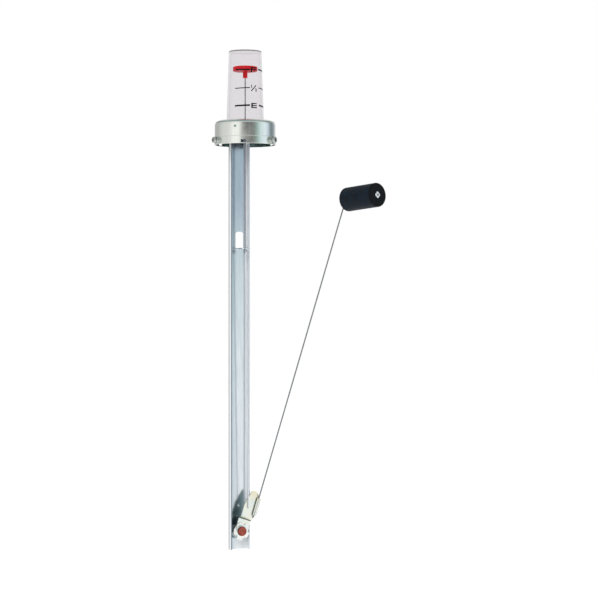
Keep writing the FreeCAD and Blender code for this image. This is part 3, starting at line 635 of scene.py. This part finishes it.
def flat_sign(text, height, weight):
    """A printed sign as a flat mesh, centred, height millimetres tall."""
    curve = bpy.data.curves.new("sign", "FONT")
    curve.body = text
    curve.size = 1.0
    curve.offset = weight
    curve.resolution_u = 4
    sign = bpy.data.objects.new("sign", curve)
    bpy.context.scene.collection.objects.link(sign)
    bpy.context.view_layer.update()
    mesh = bpy.data.meshes.new_from_object(sign.evaluated_get(bpy.context.evaluated_depsgraph_get()))
    bpy.data.objects.remove(sign)
    xs = [v.co.x for v in mesh.vertices]
    ys = [v.co.y for v in mesh.vertices]
    scale = height / (max(ys) - min(ys))
    for v in mesh.vertices:
        v.co = ((v.co.x - (max(xs) + min(xs)) / 2) * scale, (v.co.y - (max(ys) + min(ys)) / 2) * scale, 0)
    return mesh


def join(name, meshes):
    """One mesh from several."""
    bm = bmesh.new()
    for mesh in meshes:
        bm.from_mesh(mesh)
    joined = bpy.data.meshes.new(name)
    bm.to_mesh(joined)
    bm.free()
    return joined


def make_scale_print():
    """Full, half and empty marks: a bar each side of its sign, at three heights."""
    parts = []
    for z, thick, slope in ((FULL_MARK, 1.5, 0.0), (HALF_MARK, 1.0, 0.7), (EMPTY_MARK, 1.7, 0.7)):
        degree = math.radians(1) * dome_radius(z)
        parts.append(wrap_on_dome(flat_bar(LEFT_BAR_SPAN * degree, thick, slope), LEFT_BAR_MIDDLE, z))
        parts.append(wrap_on_dome(flat_bar(RIGHT_BAR_SPAN * degree, thick, -1.0), RIGHT_BAR_MIDDLE, z))
    for z, arms in ((FULL_MARK, (0.52, 1.0)), (EMPTY_MARK, (0.0, 0.5, 1.0))):
        for bar in flat_letter(arms, 6.6, 5.4, 1.15):
            parts.append(wrap_on_dome(bar, LETTER_MIDDLE, z))
    slash = flat_bar(8.4, 1.05)
    slash.transform(Matrix.Rotation(math.radians(47), 4, "Z"))
    parts.append(wrap_on_dome(slash, FRACTION_MIDDLE, HALF_MARK))
    for text, across, up in (("1", -2.5, 1.8), ("2", 2.7, -1.8)):
        digit = flat_sign(text, 3.2, 0.06)
        digit.transform(Matrix.Translation((across, up, 0)))
        parts.append(wrap_on_dome(digit, FRACTION_MIDDLE, HALF_MARK))
    return join("scale_print", parts)


def washer_tree():
    """Push-on washer about Z: one tooth and its gap, repeated round a bore with a raised lip."""
    tree = bpy.data.node_groups.new("push_on_washer", "GeometryNodeTree")
    sockets = (("Bore", 1.0), ("Root", 2.0), ("Tip", 3.0), ("Notch", 0.0), ("Lip", 0.3), ("Teeth", 5))
    for name, value in sockets:
        kind = "NodeSocketInt" if name == "Teeth" else "NodeSocketFloat"
        tree.interface.new_socket(name, in_out="INPUT", socket_type=kind).default_value = value
    tree.interface.new_socket("Finish", in_out="INPUT", socket_type="NodeSocketMaterial")
    tree.interface.new_socket("Washer", in_out="OUTPUT", socket_type="NodeSocketGeometry")
    given = add(tree, "NodeGroupInput").outputs
    sheet = add(tree, "GeometryNodeMeshGrid", {"Size X": 1.0, "Size Y": 1.0, "Vertices X": 45, "Vertices Y": 9})
    place = add(tree, "ShaderNodeSeparateXYZ", {0: add(tree, "GeometryNodeInputPosition").outputs[0]}).outputs

    value = {name: given[name] for name, _ in sockets}
    value.update({"round": place["X"], "up": place["Y"], "number": add(tree, "GeometryNodeInputIndex").outputs[0]})
    # A tooth's flank runs between two shares of its sector, and the lip takes the sheet's inner part
    fades = (("from_middle", "tooth", 0.385, 0.27), ("outward", "lip", 0.45, 0.0))
    first_steps = (
        ("outward", "ADD", "up", 0.5),
        ("from_middle", "ABSOLUTE", "round", 0.0),
    )
    last_steps = (
        ("sector", "DIVIDE", 2 * math.pi, "Teeth"),
        ("turned", "MULTIPLY", "round", "sector"),
        ("angle", "MULTIPLY", "turned", -1.0),
        ("gap", "SUBTRACT", 1.0, "tooth"),
        ("slot", "MULTIPLY", "Notch", "gap"),
        ("inner", "ADD", "Bore", "slot"),
        ("length", "SUBTRACT", "Tip", "Root"),
        ("grown", "MULTIPLY", "length", "tooth"),
        ("outer", "ADD", "Root", "grown"),
        ("wide", "SUBTRACT", "outer", "inner"),
        ("reach", "MULTIPLY", "wide", "outward"),
        ("radius", "ADD", "inner", "reach"),
        ("cosine", "COSINE", "angle", 0.0),
        ("sine", "SINE", "angle", 0.0),
        ("X", "MULTIPLY", "radius", "cosine"),
        ("Y", "MULTIPLY", "radius", "sine"),
        ("Z", "MULTIPLY", "Lip", "lip"),
        ("step", "MULTIPLY", "number", "sector"),
    )
    for steps in (first_steps, last_steps):
        for name, operation, first, second in steps:
            value[name] = add(tree, "ShaderNodeMath", {0: value.get(first, first), 1: value.get(second, second)},
                              operation=operation).outputs[0]
        if steps is first_steps:
            for source, name, low, high in fades:
                value[name] = add(tree, "ShaderNodeMapRange", {
                    "Value": value[source], "From Min": low, "From Max": high},
                    interpolation_type="SMOOTHSTEP").outputs["Result"]

    point = add(tree, "ShaderNodeCombineXYZ", {axis: value[axis] for axis in "XYZ"})
    bent = add(tree, "GeometryNodeSetPosition", {"Geometry": sheet.outputs["Mesh"], "Position": point.outputs[0]})
    seats = add(tree, "GeometryNodePoints", {"Count": given["Teeth"]})
    turn = add(tree, "ShaderNodeCombineXYZ", {"Z": value["step"]})
    teeth = add(tree, "GeometryNodeInstanceOnPoints", {
        "Points": seats.outputs[0], "Instance": bent.outputs[0], "Rotation": turn.outputs[0]})
    real = add(tree, "GeometryNodeRealizeInstances", {0: teeth.outputs[0]})
    whole = add(tree, "GeometryNodeMergeByDistance", {"Geometry": real.outputs[0], "Distance": 0.005})
    done = add(tree, "GeometryNodeSetMaterial", {"Geometry": whole.outputs[0], "Material": given["Finish"]})
    add(tree, "NodeGroupOutput", {0: done.outputs[0]})
    return tree


def make_washer(name, tree, sizes, finish, thick, matrix):
    """Plain mesh of a push-on washer, its front face towards its own +Z, set in its place."""
    blank = bpy.data.objects.new("washer_blank", bpy.data.meshes.new("washer_blank"))
    bpy.context.scene.collection.objects.link(blank)
    teeth = blank.modifiers.new("washer", "NODES")
    teeth.node_group = tree
    given = {item.name: item.identifier for item in tree.interface.items_tree if item.in_out == "INPUT"}
    for key, value in sizes.items():
        teeth[given[key]] = value
    teeth[given["Finish"]] = finish
    wall = blank.modifiers.new("wall", "SOLIDIFY")
    wall.thickness = thick
    wall.offset = 1.0
    edge = blank.modifiers.new("edge", "BEVEL")
    edge.width = thick * 0.18
    edge.segments = 2
    edge.angle_limit = math.radians(50)
    bpy.context.view_layer.update()
    mesh = bpy.data.meshes.new_from_object(blank.evaluated_get(bpy.context.evaluated_depsgraph_get()))
    bpy.data.objects.remove(blank)
    mesh.name = name
    mesh.transform(matrix @ Matrix.Scale(MM, 4))
    return mesh


set_camera()
set_world()
set_floor()
add_lamp("key_softbox", (-1.1, -1.5, 1.1), (1.2, 1.2), 14)
add_lamp("fill_softbox", (1.6, -1.2, 0.3), (1.2, 1.6), 8)

finishes = {
    "cap_zinc": drawn_zinc_plate(),
    "stem_zinc": rolled_zinc_sheet(),
    "steel": plated_fastener(),
    "clear": clear_dome_plastic(),
    "rubber": nitrile_rubber(),
    "red": red_moulding(),
    "white_plastic": white_acetal(),
    "wire": drawn_wire("drawn_wire", ["#86888A", "#9C9EA0", "#ABADB0"], 1.0),
    "bronze": copper_plated_pin(),
    "yellow_zinc": yellow_chromate(),
    "float_foam": float_foam(),
}
# Painted highlight: a pale, less metallic copy of the drawn wire, for the connecting rod
pale_lit_wire = drawn_wire("drawn_wire_painted_lit", ["#D2D8DD", "#DEE3E8", "#E8ECF0"], 0.45)
washer_steel = spring_washer_steel()
push_on = washer_tree()
for part in frame["record"]["subparts"]:
    mesh = nodes[part["node"]].data
    mesh.materials.clear()
    mesh.materials.append(pale_lit_wire if part["node"] == "connecting_rod" else finishes[part["material_slot"]])

# The pivot's washer faces -Y, and the float's two face along its axis, away from the float
facing_front = Matrix(((-1, 0, 0), (0, 0, -1), (0, -1, 0))).to_4x4()
place = Matrix.Translation(Vector((PIVOT_X, STAR_WASHER_SEAT, PIVOT_Z)) * MM) @ facing_front
pressed = make_washer("star_washer_pressed", push_on, STAR_WASHER, washer_steel, STAR_WASHER_SHEET, place)
make_object("star_washer_pressed", pressed, washer_steel, "head_and_stem", ["star_washer"])

for name, along, outward in (("float_washer_inner", 2.88, -1), ("float_washer_outer", 48.92, 1)):
    aim = (FLOAT_AXIS * outward).to_track_quat("Z", "Y").to_matrix().to_4x4()
    place = Matrix.Translation((FLOAT_HEEL + FLOAT_AXIS * along) * MM) @ aim
    pressed = make_washer(name + "_pressed", push_on, FLOAT_WASHER, washer_steel, FLOAT_WASHER_SHEET, place)
    make_object(name + "_pressed", pressed, washer_steel, "float_arm", [name])

make_object("scale_print", make_scale_print(), printing_ink(), "head_and_stem")
